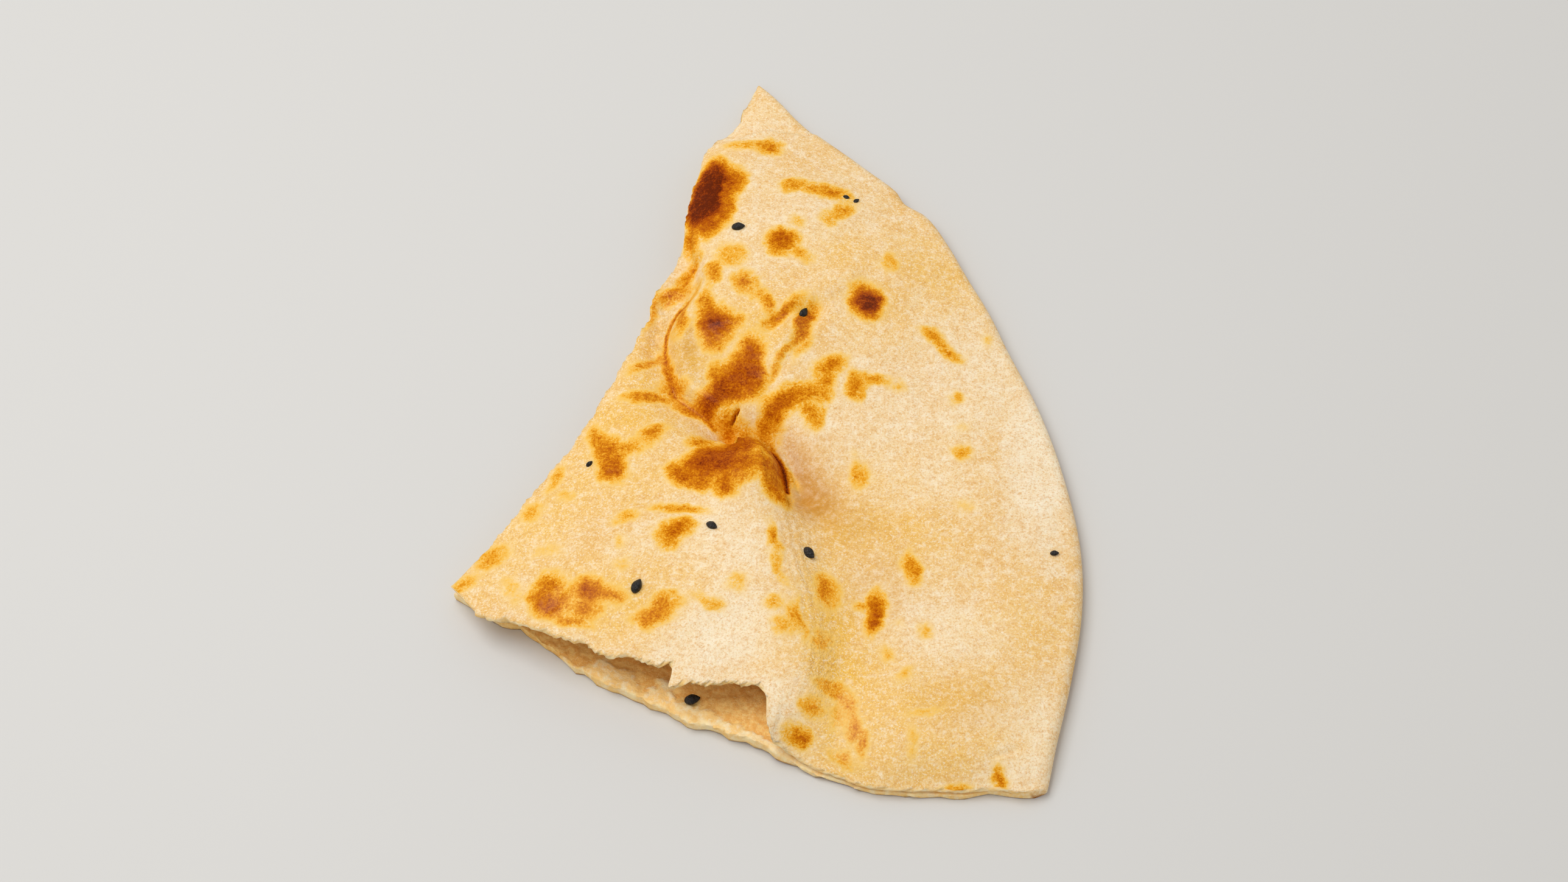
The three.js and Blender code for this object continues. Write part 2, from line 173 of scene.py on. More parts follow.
def plan(out, turn, front, frontRag=0.0, leftRag=0.0):
    # out: share of the way from the corner to the rim
    # turn: 0 at the front cut and 1 at the left cut
    frontFar, leftFar = out * outline["rim"][0][1], out * outline["rim"][-1][1]
    frontWay, leftWay = along(outline[front], frontFar), along(outline["leftCut"], leftFar)
    way = np.radians(frontWay + turn * (leftWay - frontWay))
    rag = outline["rag"]
    fade = smoothStep(frontFar, *rag["from"]) * smoothStep(1 - out, 0, rag["stop"])
    for far, size, start, aside in ((frontFar, frontRag, rag["frontStart"], turn),
                                    (leftFar, -leftRag, rag["leftStart"], 1 - turn)):
        stray = ragged(far, size, start) / np.maximum(far, rag["deep"])
        way += fade * stray * np.exp(-aside * far / rag["deep"])
    far = out * rimReach(turn)
    return outline["corner"][0] + far * np.cos(way), outline["corner"][1] + far * np.sin(way)


def spread(a, b):
    # lays a square over the quarter with cells of about one size
    u, v = a * np.sqrt(1 - b * b / 2), b * np.sqrt(1 - a * a / 2)
    turn = np.where(a + b < 1e-9, 0.5, np.arctan2(v, np.maximum(u, 1e-12)) / (math.pi / 2))
    return np.minimum(np.hypot(u, v), 1), turn


def besideLine(line, x, y):
    # distance to a line of points, and the side: 1 on its left
    near, side = np.full(np.shape(x), 1e9), np.ones(np.shape(x))
    for (x0, y0), (x1, y1) in zip(line, line[1:]):
        ex, ey = x1 - x0, y1 - y0
        t = np.clip(((x - x0) * ex + (y - y0) * ey) / (ex * ex + ey * ey), 0, 1)
        gap = np.hypot(x - x0 - t * ex, y - y0 - t * ey)
        side = np.where(gap < near, np.sign(ex * (y - y0) - ey * (x - x0)), side)
        near = np.minimum(near, gap)
    return near, side


def softened(line, steps=6):
    # the same line with its bends rounded
    points = np.array(line, float)
    knots = np.arange(len(points))
    fine = np.linspace(0, len(points) - 1, steps * (len(points) - 1) + 1)
    return list(zip(*[along(list(zip(knots, values)), fine) for values in points.T]))


foldLines = [softened(fold[0]) for fold in relief["folds"]]


def rippleAt(ripple, x, y):
    across = np.sin(x / ripple["x"] + ripple["sway"] * np.sin(y / ripple["swayY"]))
    return ripple["high"] * across * np.sin(y / ripple["y"] + ripple["lean"] * x + ripple["from"])


def crownAt(x, y):
    # height of the upper layer's top
    rim, body, droop, pressed, tear = [
        relief[name] for name in ("rim", "body", "droop", "pressed", "farTear")]
    x, y = np.asarray(x, float), np.asarray(y, float)
    dx, dy = x - outline["corner"][0], y - outline["corner"][1]
    far, way = np.hypot(dx, dy), np.degrees(np.arctan2(dy, dx))
    z = body["tipHigh"] + (body["high"] - body["tipHigh"]) * smoothStep(far, 0, body["tipReach"])
    for (mx, my), (reachX, reachY), degrees, rise in relief["mounds"]:
        c, s = math.cos(math.radians(degrees)), math.sin(math.radians(degrees))
        u, v = ((x - mx) * c + (y - my) * s) / reachX, ((y - my) * c - (x - mx) * s) / reachY
        z = z + rise * np.exp(-u * u - v * v)
    for line, (_, rise, left, right) in zip(foldLines, relief["folds"]):
        gap, side = besideLine(line, x, y)
        z = z + rise * np.exp(-(gap / np.where(side > 0, left, right)) ** 2)
    z = z + sum(rippleAt(ripple, x, y) for ripple in relief["ripples"])
    inward = np.maximum(along(outline["rim"], way) - far, 0)
    z = rim["high"] + (z - rim["high"]) * (1 - np.exp(-(inward / rim["reach"]) ** rim["fullness"]))
    fromLeft = np.maximum(np.radians(along(outline["leftCut"], far) - way), 0) * far
    z = z - droop["fall"] * np.exp(-fromLeft / droop["reach"]) * smoothStep(far, *droop["from"])
    fromFront = np.maximum(np.radians(way - along(outline["frontCut"], far)), 0) * far
    down = np.exp(-(fromFront / pressed["reach"]) ** pressed["fullness"])
    z = z - np.maximum(z - pressed["low"], 0) * down * smoothStep(far, *pressed["from"])
    gap, side = besideLine(tear["line"], x, y)
    beyond = np.where((side > 0) & (y > tear["beyond"]), smoothStep(gap, 0, tear["slope"]), 0)
    return z - tear["fall"] * beyond


def underAt(x, y):
    base = relief["base"]
    wave = np.sin(x / base["x"] + base["fromX"]) * np.sin(y / base["y"] + base["fromY"])
    return np.maximum(0, base["wave"] * wave - base["sunk"])


photo = {
    # place of its camera in millimetres, and angles in degrees
    "camera": (94.15, -442.17, 632.7), "down": 53.98, "roll": 0.706,
    # lens and middle in its pixels
    "focal": 2585.4, "middle": (1288, 724.5),
    "rounds": 12,           # in which the height that shows at a pixel is found
}
photoLevel = Euler((math.radians(90 - photo["down"]), 0, 0)).to_matrix()
photoTurn = np.array(photoLevel @ Matrix.Rotation(math.radians(photo["roll"]), 3, "Z"))


def shownAt(px, py, z):
    # the points at these heights that show at these pixels
    across, up = px - photo["middle"][0], photo["middle"][1] - py
    ray = photoTurn @ np.stack([across, up, np.full(px.shape, -photo["focal"])])
    x0, y0, z0 = photo["camera"]
    return x0 + ray[0] * (z - z0) / ray[2], y0 + ray[1] * (z - z0) / ray[2]


def heightShown(px, py):
    # height of the upper layer where it shows at these pixels
    z = np.full(px.shape, float(relief["body"]["high"]))
    for _ in range(photo["rounds"]):
        z = (z + crownAt(*shownAt(px, py, z))) / 2
    return z


print("browning")

browning = {
    # browned places, read off the photograph in its pixels: middle, half length, half width,
    # turn in degrees with 90 pointing down, and heat from 0 to 1
    "spots": [
        # far point
        (965, 563, 8, 5, 0, 0.46), (946, 560, 12, 3.5, -5, 0.33), (917, 598, 26.5, 13, 112, 0.95),
        (923.5, 602, 29, 15.5, 108, 0.58), (938, 590, 12, 7, 100, 0.5),
        (905, 632, 11, 5, 100, 0.5), (922, 622, 9, 6, 0, 0.46),
        # bubble
        (986, 592, 9, 5, -10, 0.42), (1000, 595, 7, 4, 10, 0.42), (1014, 598, 10, 4.5, 22, 0.45),
        (1020, 613, 7, 4, -40, 0.36), (1012, 618, 5, 3.5, 0, 0.36), (975.5, 636, 9, 8, 0, 0.56),
        (971, 634, 5, 5, 0, 0.6), (989, 645, 7, 3.5, 25, 0.36), (985, 619, 3, 3, 0, 0.31),
        (1057, 653, 4.5, 4.5, 40, 0.31), (1038, 681, 12, 12, 0, 0.56), (1039, 682, 8, 8, 0, 0.92),
        (920, 659, 4.5, 5, 0, 0.48), (945, 665, 7, 6, 0, 0.46), (960, 680, 9, 4, 55, 0.47),
        (934, 645, 12, 8, 0, 0.27),
        # browned places along the pleat
        (922, 697, 14, 13, 20, 0.6), (922, 698, 7.5, 6.5, 10, 0.86), (916, 684, 6, 11, 0, 0.5),
        (936, 695, 6, 5, 0, 0.5), (920, 712, 8, 5, 0, 0.42), (976, 691, 13, 3, -38, 0.54),
        (966, 697, 6, 2.5, -30, 0.42), (993, 694, 9, 4.5, -55, 0.6),
        (987, 705, 9, 3.5, -62, 0.56), (974, 724, 22, 2.2, -58, 0.4), (990, 716, 8, 4, -60, 0.33),
        (950, 720, 8, 10, 10, 0.6), (944, 732, 13, 12, -35, 0.62), (951, 741, 7, 11, 5, 0.7),
        (932, 745, 18, 10, -35, 0.64), (921, 752, 12, 8, -40, 0.66), (914, 760, 8, 5, 20, 0.6),
        (938, 752, 9, 6, 0, 0.56), (925, 736, 9, 7, -50, 0.5), (901, 661, 11, 4, -45, 0.44),
        (890, 675, 12, 4, -25, 0.42), (899, 686, 14, 3.2, 118, 0.5), (895, 697, 8, 3, 105, 0.47),
        (873, 686, 11, 2, 110, 0.42), (868, 727, 13, 3, -30, 0.42), (886, 736, 14, 3, 62, 0.46),
        (871, 753, 18, 3.5, -5, 0.47), (900, 764, 14, 4, 22, 0.48), (889, 748, 8, 5, 0, 0.42),
        (884, 727, 9, 1.8, 85, 0.44),
        # right of the tuck
        (1013, 730, 10, 6, -20, 0.48), (1007, 742, 5, 7, 0, 0.42), (1003, 752, 6, 3, 0, 0.4),
        (1030, 747, 5.5, 6.5, 0, 0.5), (1043, 742, 7, 3.5, -10, 0.42), (1060, 747, 4, 3, 0, 0.27),
        (990, 750, 12, 5, -12, 0.5), (977, 755, 9, 6, -30, 0.6), (968, 763, 8, 8, -50, 0.6),
        (963, 774, 6, 9, 20, 0.54), (971, 768, 6, 9, 30, 0.46), (992, 766, 9, 5, 60, 0.42),
        (1000, 770, 5, 6, 0, 0.36), (962, 784, 5, 5, 0, 0.46), (1003, 755, 5, 3, 0, 0.42),
        # bulge under the tuck
        (895, 812, 9, 8, 0, 0.56), (905, 816, 13, 6, 20, 0.54), (910, 800, 14, 8, -35, 0.58),
        (922, 802, 19, 13, -8, 0.7), (911, 789, 8, 5, 0, 0.48), (938, 792, 14, 9, 0, 0.66),
        (935, 805.5, 16, 12, 0, 0.56), (927, 822, 6, 6, 0, 0.6), (952, 802, 18, 11, 15, 0.45),
        (965, 815, 9, 14, -15, 0.5), (968, 828, 6, 6, 0, 0.56), (962, 796, 18, 4, 38, 0.5),
        (930, 779, 6, 7, 0, 0.5), (945, 783, 7, 3.5, 20, 0.46),
        # left side
        (873, 781, 9, 4.5, -28, 0.5), (830, 783, 7, 6, 60, 0.46), (836, 794, 8, 9, 0, 0.52),
        (840, 807, 8.5, 10.5, -10, 0.58), (838, 812, 6, 5, 0, 0.46), (850, 794, 11, 4, -8, 0.44),
        (796, 815, 4, 8, 40, 0.33), (803, 829, 5, 4, 0, 0.27), (776, 842, 9, 5, -35, 0.33),
        (744, 876, 12, 6, -20, 0.36), (786, 872, 12, 5, 0, 0.18), (722, 897, 10, 4, -30, 0.36),
        (758, 898, 5, 6, 0, 0.24), (764, 906, 5, 5, 0, 0.2),
        # pillow
        (851, 845, 6, 3, -15, 0.4), (893, 840, 13, 2.5, 5, 0.45), (880, 838, 7, 2.5, 0, 0.36),
        (890, 854, 11, 5, -5, 0.58), (884, 862, 7, 6, 0, 0.44), (846, 864, 3, 3, 0, 0.24),
        (790, 897, 11, 7, -30, 0.46), (788, 912, 13, 9, 35, 0.58), (783, 917, 7, 6, 0, 0.5),
        (806, 926, 14, 4, 10, 0.42), (800, 908, 9, 6, 40, 0.47), (823, 901, 15, 7.5, 15, 0.46),
        (819, 903, 7, 6, 0, 0.62), (838, 906, 6, 5, 0, 0.47), (817.5, 916, 9.5, 5.5, 10, 0.46),
        (806, 905, 8, 5, 0, 0.36), (880, 911, 9, 6, -10, 0.42), (868, 922, 12, 6, -5, 0.48),
        (875, 916, 9, 5, -20, 0.4), (908, 908, 8, 4, 20, 0.27), (919, 914, 7, 5, 20, 0.31),
        (936, 896, 5, 4, 0, 0.29), (965, 912, 6, 5, 0, 0.33), (970, 930, 7, 5, 0, 0.31),
        (980, 922, 3, 7, 0, 0.36), (964, 862, 2.5, 8, -15, 0.45), (968, 885, 2.5, 9, -20, 0.36),
        (984, 924, 1.6, 9, -8, 0.42), (846, 880, 7, 5, 0, 0.2),
        # valley
        (1006, 905, 7, 10, 15, 0.44), (1003, 899, 4, 5, 0, 0.47), (1043, 918, 7, 14, 14, 0.56),
        (1043, 922, 4, 9, 12, 0.6), (1034, 916, 6, 3.5, 0, 0.36), (1069, 884, 4.5, 9, 0, 0.42),
        (1071, 890, 3, 4, 0, 0.47), (1000, 940, 7, 7, 0, 0.31),
        # front
        (1008, 980, 12, 5, 10, 0.4), (992, 992, 7, 5, 0, 0.38), (1022, 989, 4.5, 5, 0, 0.42),
        (1024, 1008, 5, 9, 0, 0.45), (1032, 1021, 3.5, 6, 0, 0.47),
        (1015, 1031, 6, 2.5, 25, 0.42), (1012, 1000, 4, 6, 0, 0.33),
        (981.5, 1015.5, 6.5, 4.5, 10, 0.5), (982.5, 1017.5, 3.5, 2.5, 0, 0.66),
        (1080, 996, 12, 3, -15, 0.24), (1069, 1020, 4, 10, 10, 0.22),
        (1052, 951, 3.5, 3, 0, 0.31), (1063, 969, 3.5, 2.6, 0, 0.31),
        (1081, 934, 3.5, 3.5, 0, 0.29), (1103, 1058, 5, 1.6, 0, 0.5),
        (1138, 1050, 1.6, 4, 0, 0.8),
        # right side
        (1089, 708, 7, 4, 20, 0.42), (1097, 716, 9, 3.5, 35, 0.42), (1104, 723, 6, 4, 30, 0.42),
        (1130, 714, 4, 3, 30, 0.24), (1106, 757, 4, 3, 0, 0.33), (1110, 779, 4, 3, 0, 0.18),
        (1111, 799, 5, 4, 0, 0.36), (1033, 816, 5, 7, 15, 0.38), (1031, 799, 4, 3, 0, 0.15),
        (1112, 839, 7, 3, 0, 0.18), (1060, 930, 3, 3, 0, 0.18),
    ],
    "soft": 2,              # a spot fades over this many millimetres on each side of its edge
    # the fading: how far it is moved out, and its parts, each with where it starts and ends
    "fade": {"moved": 0.36, "parts": [(0.8, -1, 1.4), (0.2, -3, 1)]},
    # brown and painted shade along creases, darkest in the crevices: middle line in millimetres,
    # half width, heat
    "lines": [
        ([(-9, -12), (-6.2, -11.7), (-4.1, -12.4), (-2, -13.7), (-0.6, -15.1), (0.8, -17.3),
          (1.8, -19.7), (2.6, -22.7)], 1.3, 0.6),
        ([(-6.2, -11.3), (-4.1, -11.7), (-2, -12.9), (-0.3, -14.3), (1.3, -16.5), (2.4, -19.1),
          (3.2, -22.5), (3.7, -25.1)], 0.6, 1),
        ([(-8.4, -4.9), (-9.1, -6.2), (-9.7, -7.3)], 0.35, 1),
        ([(-24.4, 24.9), (-26.8, 19.6), (-27.3, 15.3), (-26.6, 9.4)], 0.5, 0.66),
        ([(-26.6, 9.4), (-25, 3.6), (-23.4, -0.5), (-20.6, -3), (-17.4, -5.3),
          (-14, -8.1)], 0.9, 0.5),
        ([(-22.1, 36.7), (-25.4, 30.2), (-29.7, 27.6)], 0.6, 0.46),
    ],
    # how an edge wanders either way: reach, size, seed
    "wanderX": [(1.5, 6, 2.2), (0.7, 1.7, 5.2)], "wanderY": [(1.5, 6, 8.8), (0.7, 1.7, 11.8)],
    "rise": 0.3,            # how far a browned place stands up
    "riseLumps": [(0.8, 1.5, 4.4)],
}

# broad changes of tone in millimetres: middle, half length, half width, turn in degrees, amount
tone = {
    "soaked": (7, [
        (-50, -35, 24, 8, 48, 0.6), (-36, -11, 14, 8, 60, 0.75), (-29, 7, 6, 14, 0, 0.8),
        (-20, 9, 6, 9, 0, 0.8), (-4, 17, 6, 7, 0, 0.75), (-34, -58, 11, 6, -15, 1),
        (-19, -52, 7, 5, 0, 0.5), (-43, -52, 7, 5, -20, 0.45), (-30, -24, 8, 10, 0, 0.5),
        (-27, -9, 6, 6, 0, 0.7), (15, -63, 5, 15, 8, 1), (22, -73, 6, 7, 0, 0.95),
        (21, -84, 7, 9, 0, 0.95), (7, -66, 4, 5, 0, 0.4), (34, -80, 9, 6, 10, 0.7),
        (46, -78, 9, 6, 10, 0.65), (45, -90, 12, 5, 15, 0.6), (33, -93, 12, 4, 10, 0.5),
        (18, -34, 7, 6, 0, 0.75), (30, -37, 9, 6, 0, 0.6), (26, -24, 8, 6, 0, 0.35),
        (-17, 23, 6, 5, 0, 0.5), (-23, 59, 4, 20, 10, 0.4), (-12, 86, 5, 6, 30, 0.2),
        (13, 40, 6, 5, 0, 0.6), (34, 36, 6, 10, 30, 0.6), (20, 26, 9, 8, 0, 0.4),
        (58, -59, 8, 9, 0, 0.4),
    ]),
    # tan, and painted shade: the shadow beside the bulge under the tuck, the dimple right of it,
    # the shaded slope above and the hollow that runs on from the dimple
    "tanned": (4, [
        (6.5, -24.5, 2.6, 5, 15, 0.95), (11, -28.5, 5, 3.5, -45, 1), (17, -33, 6, 4, -40, 0.4),
        (9, -20, 4, 5, 20, 0.3), (25, -38.5, 8, 4.5, -30, 0.15), (26, -50, 7, 9, 0, 0.2),
        (-21, 11, 3, 6, 0, 0.5), (46, -80, 9, 7, 0, 0.2),
    ]),
    "floured": (6, [
        (-7, -66, 13, 9, 10, 0.9), (-9, -45, 10, 9, 0, 0.6), (-24, -66, 8, 5, 0, 0.3),
        (4, -79, 7, 4, -20, 0.8), (9.5, -83, 3.5, 4, 0, 1), (-14, 81, 6, 9, 30, 0.5),
        (57, -87, 9, 10, 0, 0.9), (40, -64, 13, 10, 0, 0.5), (60, -15, 7, 22, 0, 0.85),
        (32, -1, 14, 12, 0, 0.45), (16, -10, 8, 6, 0, 0.45), (45, 9, 8, 20, 25, 0.4),
        (-16, 35, 8, 9, 0, 0.4), (5, 47, 14, 10, 0, 0.4), (-54, -42, 6, 4, 40, 0.4),
        (-48, -17, 5, 5, 40, 0.4), (30, -20, 12, 8, 0, 0.5),
    ]),
    # places that are wet with butter and shine
    "shiny": (3, [
        (-46, -58, 4, 3, 0, 0.35), (19, 25.4, 3, 3, 0, 0.35), (-15, 17.7, 3, 2.5, 0, 0.25),
        (-29, 18, 2.5, 9, 0, 0.9), (-22, 28, 2, 5, -20, 0.8), (-20.3, 0.2, 2.5, 2.5, 0, 0.7),
        (-9.4, 29.5, 2, 2, 0, 0.7), (-4, -22, 8, 6, 0, 0.15), (14.4, -70.3, 3, 9, 0, 0.8),
        (9.8, -45.6, 2.5, 9, 0, 0.5), (20, -84, 6, 8, 0, 0.5), (2, 12, 3, 9, -25, 0.5),
    ]),
}


def bumpy(x, y, z, scale, seed):
    # soft uneven noise, about -1 to 1, at each point
    points = np.stack(np.broadcast_arrays(x, y, z), -1).reshape(-1, 3) / scale + seed
    return np.array([noise.noise(Vector(p)) for p in points]).reshape(np.shape(x))


def lumpy(layers, x, y, z):
    # noise in layers of (height, size, seed)
    return sum(height * bumpy(x, y, z, size, seed) for height, size, seed in layers)


def ovalsOf(rows, onPhoto=False):
    # middle, both half axes and strength of each oval, in millimetres
    x, y, long, broad, degrees, strength = np.array(rows, float).T
    c, s = np.cos(np.radians(degrees)), np.sin(np.radians(degrees))
    places = [(x, y), (x + long * c, y + long * s), (x - broad * s, y + broad * c)]
    if onPhoto:
        z = heightShown(x, y)
        places = [shownAt(*place, z) for place in places]
    middle, longEnd, broadEnd = [np.stack(place, -1) for place in places]
    return list(zip(middle, longEnd - middle, broadEnd - middle, strength))


def patches(ovals, soft, x, y):
    # the strongest of some ovals at each point; their edges wander and fade out
    x, y = x + lumpy(browning["wanderX"], x, y, 0), y + lumpy(browning["wanderY"], x, y, 0)
    fade = browning["fade"]
    total = np.zeros(np.shape(x))
    for (mx, my), (longX, longY), (broadX, broadY), strength in ovals:
        area = abs(longX * broadY - longY * broadX)
        dx, dy = x - mx, y - my
        reach = np.hypot(dx * broadY - dy * broadX, dy * longX - dx * longY) / area
        inside = fade["moved"] - (reach - 1) * math.sqrt(area) / soft
        share = sum(part * smoothStep(inside, low, high) for part, low, high in fade["parts"])
        total += (strength * share) ** 4
    return total ** 0.25


spotOvals = ovalsOf(browning["spots"], onPhoto=True)


def spotsAt(x, y):
    return patches(spotOvals, browning["soft"], x, y)


def brownedAndCreaseShadeAt(x, y):
    # heat from 0 to 1 at each point of the top, with the painted shade in the creases added in
    heatAndShade = spotsAt(x, y) ** 4
    for line, half, strength in browning["lines"]:
        gap, _ = besideLine(softened(line), x, y)
        heatAndShade += (strength * np.exp(-(gap / half) ** 2)) ** 4
    return heatAndShade ** 0.25


print("naan")

naanMesh = {
    # cells along each side of a surface, how much they draw together in the middle of the way
    # out, and how much towards the front cut
    "crown": (240, 0.35, 1), "ceiling": (84, 0.45, 1.3),
    "floor": (124, 0.45, 1.5), "under": (72, 0, 1),
    "rimSteps": 6, "plainRim": 0.04,
    "wallSteps": 4, "wallBulge": 0.26, "wallLumps": [(1, 1.7, 7.7)],
    "outward": {"front": (0.35, -0.95), "left": (-0.9, 0.4)},
    # how far each edge strays; the torn one turns smooth between these distances
    "rag": {"tear": 0.5, "smooth": 0.16, "cut": 0.28, "low": 0.35, "tearEnds": (82, 90)},
    # unevenness: height, size, seed
    "crownLumps": [(0.16, 6.5, 3.1), (0.06, 2.6, 9.4)],
    "ceilingLumps": [(0.35, 4.2, 5.7)], "ceilingSunk": 0.07,
    "floorLumps": [(0.35, 3.6, 1.9), (0.175, 1.6, 6.1)],
    # narrow creases: middle line, depth, half width
    "creases": [
        ([(-22.4, 36.5), (-22.2, 29.6), (-24.4, 24.9), (-26.8, 19.6), (-27.3, 15.3), (-26.6, 9.4),
          (-25, 3.6), (-23.4, -0.5)], 0.45, 0.7),
        ([(-23.4, -0.5), (-20.6, -3), (-17.4, -5.3), (-14, -8.1), (-11.4, -10.7)], 0.12, 0.9),
        ([(-9.2, -11.7), (-6.2, -11.1), (-4.1, -11.6), (-2, -12.7), (-0.4, -14.1), (1.1, -16.2),
          (2.2, -18.7), (3, -21.9), (3.4, -24.6)], 1.4, 0.7),
        ([(-8.4, -4.9), (-9.1, -6.2), (-9.7, -7.3)], 1.6, 0.32),
        ([(6.4, -26.9), (10.3, -32.5), (14.1, -37)], 0.12, 0.35),
        ([(-31.5, 23.9), (-29.5, 24.3), (-27.7, 24.4)], 0.35, 0.4),
        ([(-31.8, 18.6), (-29.4, 19.5), (-27.6, 19)], 0.35, 0.4),
        ([(-32, 14.2), (-29.6, 15.1), (-27.6, 14.6)], 0.35, 0.4),
        ([(-22.4, 36.5), (-25.4, 32.3), (-30.2, 29.9)], 0.7, 0.9),
        ([(51.9, -91.1), (54.3, -90.5), (56.8, -89.2)], 0.4, 0.6),
    ],
    # in the mouth: a torn step of the lower layer, pale in front of it and amber behind
    "crumb": {
        "line": [
            (-49.8, -62.6), (-45.8, -65.2), (-42.1, -67.4), (-38.4, -68.9), (-36.6, -66.9),
            (-33, -67), (-30.6, -69.2), (-28, -69.4), (-26.4, -74), (-23, -75), (-21.2, -71.8),
            (-18.9, -71.6), (-17.6, -76.6), (-14, -78.2), (-8.5, -80.3), (-2.9, -83), (3.2, -86),
            (7.8, -88.3),
        ],
        "wander": [(1.3, 1.9, 3.3), (0.6, 0.7, 5.5)], "soft": 0.2, "deep": (12, 22),
        "step": 0.55, "lumps": (0.5, 1.1, 2.7), "pits": (0.35, 0.6, 7.3), "below": 4.4,
    },
    # fine ridges that run beside the crest of the pillow, swaying by (height, length)
    "stretch": {"height": 0.09, "apart": 1.9, "from": 3.4, "reach": 3.6,
                "sway": [(0.5, 6), (0.3, 2.7)]},
    # short ridges across the trough left of the pleat
    "trough": {"at": (-29.6, 18.9), "reach": (3.6, 9), "height": 0.3, "apart": 4.6, "lean": 0.6},
    "skinFrom": 0.4,       # the top's colours reach this far round the rim
}
creaseLines = [softened(crease[0]) for crease in naanMesh["creases"]]


def upperEdge(out, turn):
    rag = naanMesh["rag"]
    smooth = smoothStep(out * outline["rim"][0][1], *rag["tearEnds"])
    frontRag = rag["tear"] + (rag["smooth"] - rag["tear"]) * smooth
    return plan(out, turn, "frontTear", frontRag, rag["cut"])


def lowerEdge(out, turn):
    return plan(out, turn, "frontCut", naanMesh["rag"]["low"], naanMesh["rag"]["cut"])


def shortOfRim(turn):
    # where the rim starts to turn down, as a share of the way out
    return 1 - relief["rim"]["round"] / rimReach(turn)


def closing(out):
    # how far the pocket has closed towards the rim
    return np.clip((out - outline["closesFrom"]) / (1 - outline["closesFrom"]), 0, 1) ** 2


def fineRelief(x, y, z):
    # unevenness, browned rises, creases, stretch lines and the trough's ridges
    dz = lumpy(naanMesh["crownLumps"], x, y, z)
    dz += browning["rise"] * spotsAt(x, y) * (1 + lumpy(browning["riseLumps"], x, y, z))
    for line, (_, depth, half) in zip(creaseLines, naanMesh["creases"]):
        gap, _ = besideLine(line, x, y)
        dz -= depth * np.exp(-(gap / half) ** 2)
    stretch, trough = naanMesh["stretch"], naanMesh["trough"]
    gap, side = besideLine(foldLines[0], x, y)
    band = np.exp(-((gap - stretch["from"]) / stretch["reach"]) ** 2) * (side > 0)
    swayed = gap + sum(high * np.sin(y / length) for high, length in stretch["sway"])
    dz += stretch["height"] * band * np.sin(2 * math.pi * swayed / stretch["apart"])
    u, v = [(p - at) / reach for p, at, reach in zip((x, y), trough["at"], trough["reach"])]
    ridges = np.sin(2 * math.pi * (y + trough["lean"] * x) / trough["apart"])
    return dz + trough["height"] * np.exp(-u * u - v ** 4) * ridges


def crownPlace(out, turn):
    out = out * shortOfRim(turn)
    x, y = upperEdge(out, turn)
    z = crownAt(x, y)
    return x, y, z + smoothStep(1 - out, 0, naanMesh["plainRim"]) * fineRelief(x, y, z)


def ceilingPlace(out, turn):
    skin = relief["skin"]
    x, y = upperEdge(out * outline["seam"], turn)
    top = crownAt(x, y)
    fromFront = turn * outline["between"] * out * outline["rim"][0][1]
    thick = skin["torn"] + (skin["thick"] - skin["torn"]) * np.clip(fromFront / skin["reach"], 0, 1)
    z = top - thick + lumpy(naanMesh["ceilingLumps"], x, y, top) - naanMesh["ceilingSunk"]
    z = np.maximum(z, (top + relief["leastGap"]) / 2)
    return x, y, z + (top / 2 - z) * closing(out)


def crumbAt(x, y):
    # before: 1 in front of the torn step and 0 behind it
    # near: 1 by the mouth and 0 deep in the pocket
    crumb = naanMesh["crumb"]
    gap, side = besideLine(crumb["line"], x, y)
    before = smoothStep(lumpy(crumb["wander"], x, y, 0) - gap * side, -crumb["soft"], crumb["soft"])
    return before, 1 - smoothStep(gap, *crumb["deep"])


def floorPlace(out, turn):
    x, y = lowerEdge(out * outline["seam"], turn)
    xTop, yTop = upperEdge(out * outline["seam"], turn)
    top = crownAt(xTop, yTop)
    z = underAt(x, y) + relief["base"]["thick"] + lumpy(naanMesh["floorLumps"], x, y, 0)
    crumb = naanMesh["crumb"]
    before, near = crumbAt(x, y)
    flakes = np.abs(lumpy([crumb["lumps"]], x, y, 0)) - np.abs(lumpy([crumb["pits"]], x, y, 0))
    z = z + near * (crumb["step"] * (before - 0.5) + flakes)
    z = np.minimum(z, (top - relief["leastGap"]) / 2)
    close = closing(out)
    return x + (xTop - x) * close, y + (yTop - y) * close, z + (top / 2 - z) * close


def underPlace(out, turn):
    x, y = lowerEdge(out * shortOfRim(turn), turn)
    return x, y, underAt(x, y)


def rimPlace(out, turn, share):
    # round the rim: share 0 is at the top and 1 at the underside
    angle = math.pi * (0.5 - share)
    inset = relief["rim"]["round"] * (1 - math.cos(angle))
    x, y = lowerEdge(1 - inset / rimReach(turn), turn)
    whole = np.ones_like(turn)
    top, low = crownPlace(whole, turn)[2], underPlace(whole, turn)[2]
    return x, y, (top + low) / 2 + (top - low) / 2 * math.sin(angle)


def tornFace(outer, inner, sideways):
    # rows of a torn face between two edges, uneven in the middle
    def place(out, turn, share):
        x, y, z = [p + (q - p) * share for p, q in zip(outer(out, turn), inner(out, turn))]
        swell = naanMesh["wallBulge"] * math.sin(math.pi * share)
        swell = swell * (1 + lumpy(naanMesh["wallLumps"], x, y, z))
        return x + sideways[0] * swell, y + sideways[1] * swell, z
    return place


def put(bm, verts, place, *extra):
    # moves points to their place, worked out from the square each of them came from
    layers = bm.verts.layers.float
    a, b = [np.array([v[layers[name]] for v in verts]) for name in ("a", "b")]
    for v, co in zip(verts, np.stack(place(*spread(a, b), *extra), -1) * mm):
        v.co = co


